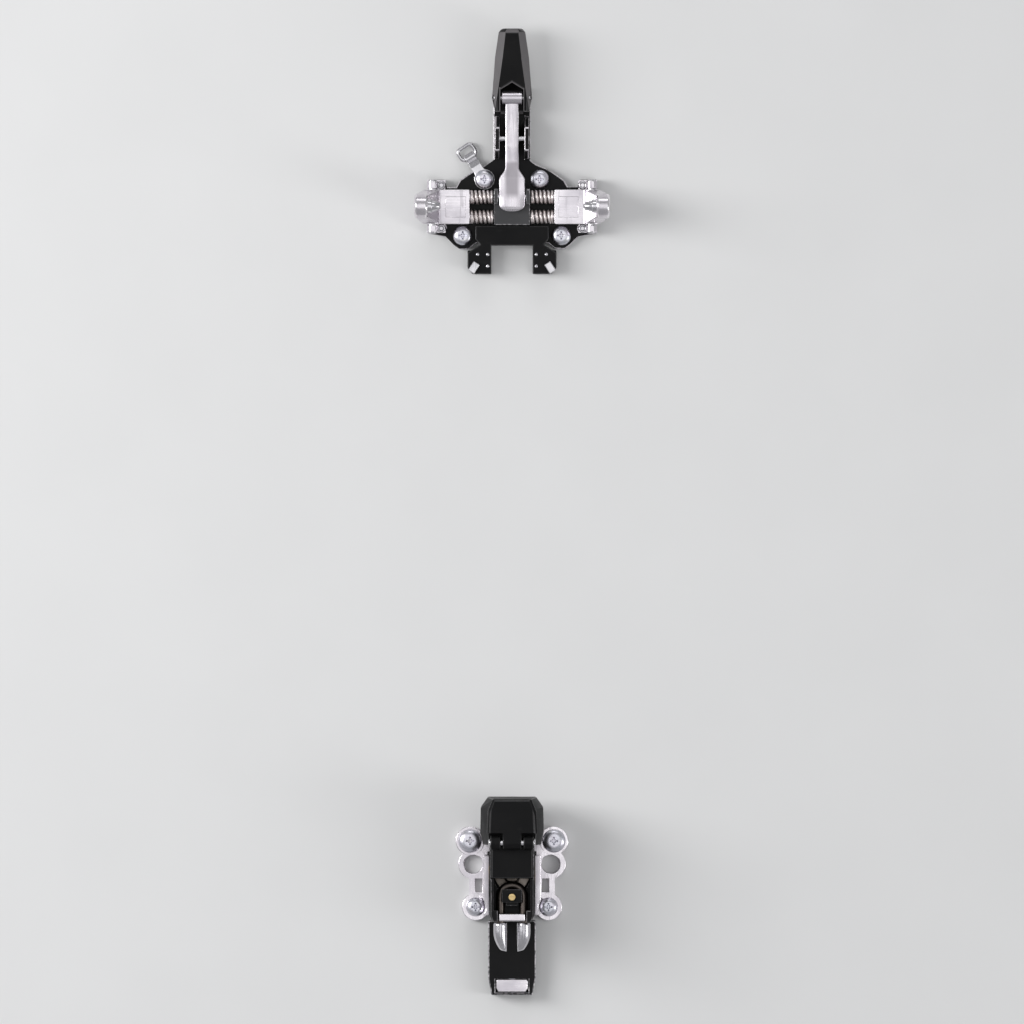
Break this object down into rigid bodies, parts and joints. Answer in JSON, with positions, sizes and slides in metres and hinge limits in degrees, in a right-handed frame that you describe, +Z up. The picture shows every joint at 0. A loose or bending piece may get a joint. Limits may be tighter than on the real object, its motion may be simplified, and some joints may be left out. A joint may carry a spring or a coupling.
{
  "type": "touring binding",
  "caption": "Pin-type ski touring binding: sprung toe wings with a locking lever, and a turning heel turret with a climbing flap on a sliding track.",
  "frame": {"origin": "on the ski's top surface and its centre line, under the line through the two toe pins", "axes": "+X to the right across the ski, +Y forward to the ski's tip, +Z up from the ski"},
  "size_m": [0.085, 0.4212, 0.058],
  "materials": {
    "black_anodised": "black anodised with bright machined edges",
    "bright_aluminium": "fine satin, slightly mauve",
    "polished_steel": "polished",
    "spring_steel": "drawn wire, warm grey",
    "zinc_steel": "zinc plated, bluish",
    "dark_grey_anodised": "dark grey anodised",
    "black_plastic": "fine grained, glass filled",
    "brass": "plain"
  },
  "bodies": {
    "fixed_to_ski": {"toe_base_plate": "black_anodised", "hinge_bracket_left": "bright_aluminium", "hinge_bracket_right": "bright_aluminium", "hinge_rivet_front_left": "polished_steel", "hinge_rivet_front_right": "polished_steel", "hinge_rivet_rear_left": "polished_steel", "hinge_rivet_rear_right": "polished_steel", "wing_axle_left": "polished_steel", "wing_axle_right": "polished_steel", "toe_screw_front_left": "zinc_steel", "toe_screw_front_right": "zinc_steel", "toe_screw_rear_left": "zinc_steel", "toe_screw_rear_right": "zinc_steel", "leash_tab": "polished_steel", "crampon_bracket": "black_plastic", "crampon_insert_left": "polished_steel", "crampon_insert_right": "polished_steel", "lever_pivot_pin": "polished_steel", "heel_base_plate": "bright_aluminium", "heel_track": "black_anodised", "thrust_block": "bright_aluminium", "heel_screw_front_left": "zinc_steel", "heel_screw_front_right": "zinc_steel", "heel_screw_rear_left": "zinc_steel", "heel_screw_rear_right": "zinc_steel"},
    "left_wing": {"wing_left": "bright_aluminium", "toe_pin_left": "polished_steel"},
    "right_wing": {"wing_right": "bright_aluminium", "toe_pin_right": "polished_steel"},
    "bridge": {"spring_bridge": "dark_grey_anodised", "link_pin": "polished_steel", "wing_spring_front_left": "spring_steel", "wing_spring_front_right": "spring_steel", "wing_spring_rear_left": "spring_steel", "wing_spring_rear_right": "spring_steel"},
    "lever": {"lever_beam": "bright_aluminium", "grip_pin": "polished_steel"},
    "grip": {"lever_grip": "black_plastic"},
    "leash": {"leash_ring": "polished_steel"},
    "carriage": {"slide_carriage": "black_anodised", "turret_post": "polished_steel", "post_nut": "polished_steel", "turret_washer": "brass"},
    "length_screw": {"adjust_screw": "zinc_steel"},
    "turret": {"turret_housing": "black_anodised", "support_block": "black_plastic", "turret_cover": "black_plastic", "u_spring": "spring_steel", "spring_clamp": "black_anodised", "clamp_screw": "brass", "pin_retainer": "bright_aluminium", "riser_axle": "polished_steel", "lateral_plunger": "polished_steel", "lateral_spring": "spring_steel"},
    "release_adjuster": {"release_screw": "brass"},
    "flap": {"riser_flap": "black_plastic"},
    "left_heel_pin": {"heel_pin_left": "polished_steel"},
    "right_heel_pin": {"heel_pin_right": "polished_steel"}
  },
  "joints": [
    {"name": "wing_left_hinge", "type": "hinge", "parent": "fixed_to_ski", "child": "left_wing", "pos_m": [-0.03465, 0, 0.0105], "axis": [0, -1, 0], "range_deg": [0, 16], "deforming": ["wing_spring_front_left", "wing_spring_rear_left"]},
    {"name": "wing_right_hinge", "type": "hinge", "parent": "fixed_to_ski", "child": "right_wing", "pos_m": [0.03465, 0, 0.0105], "axis": [0, 1, 0], "range_deg": [0, 16], "deforming": ["wing_spring_front_right", "wing_spring_rear_right"]},
    {"name": "bridge_lift", "type": "slide", "parent": "fixed_to_ski", "child": "bridge", "axis": [0, 0, 1], "range_m": [0, 0.0046]},
    {"name": "lever_hinge", "type": "hinge", "parent": "fixed_to_ski", "child": "lever", "pos_m": [0, 0.0297, 0.0126], "axis": [-1, 0, 0], "range_deg": [0, 10.4]},
    {"name": "grip_lock", "type": "hinge", "parent": "lever", "child": "grip", "pos_m": [0, 0.0475, 0.0146], "axis": [-1, 0, 0], "range_deg": [-40, 0]},
    {"name": "leash_ring_flip", "type": "hinge", "parent": "fixed_to_ski", "child": "leash", "pos_m": [-0.01832, 0.02183, 0.0021], "axis": [0.8387, 0.5446, 0], "range_deg": [0, 125]},
    {"name": "carriage_slide", "type": "slide", "parent": "fixed_to_ski", "child": "carriage", "axis": [0, 1, 0], "range_m": [-0.01, 0.01]},
    {"name": "adjust_screw_spin", "type": "hinge", "parent": "fixed_to_ski", "child": "length_screw", "pos_m": [0, -0.2909, 0.0047], "axis": [0, 1, 0], "range_deg": [-4810, 4810]},
    {"name": "turret_spin", "type": "hinge", "parent": "carriage", "child": "turret", "pos_m": [0, -0.2909, 0.0115], "axis": [0, 0, 1], "continuous": true},
    {"name": "heel_pin_left_spread", "type": "hinge", "parent": "turret", "child": "left_heel_pin", "pos_m": [-0.0051, -0.3002, 0.036], "axis": [0, 0, -1], "range_deg": [0, 3.5], "stiffness_Nm_per_rad": 40, "deforming": ["u_spring"]},
    {"name": "heel_pin_right_spread", "type": "hinge", "parent": "turret", "child": "right_heel_pin", "pos_m": [0.0051, -0.3002, 0.036], "axis": [0, 0, 1], "range_deg": [0, 3.5]},
    {"name": "riser_flip", "type": "hinge", "parent": "turret", "child": "flap", "pos_m": [0, -0.2765, 0.046], "axis": [1, 0, 0], "range_deg": [0, 178]},
    {"name": "release_screw_turn", "type": "hinge", "parent": "turret", "child": "release_adjuster", "pos_m": [0, -0.26, 0.022], "axis": [0, 1, 0], "range_deg": [-360, 360]}
  ],
  "couplings": [
    {"joint": "wing_right_hinge", "follows": "wing_left_hinge", "ratio": 1},
    {"joint": "bridge_lift", "follows": "wing_left_hinge", "m_per_rad": 0.01625},
    {"joint": "lever_hinge", "follows": "wing_left_hinge", "ratio": 0.646},
    {"joint": "adjust_screw_spin", "follows": "carriage_slide", "rad_per_m": -8377.6},
    {"joint": "heel_pin_right_spread", "follows": "heel_pin_left_spread", "ratio": 1}
  ]
}
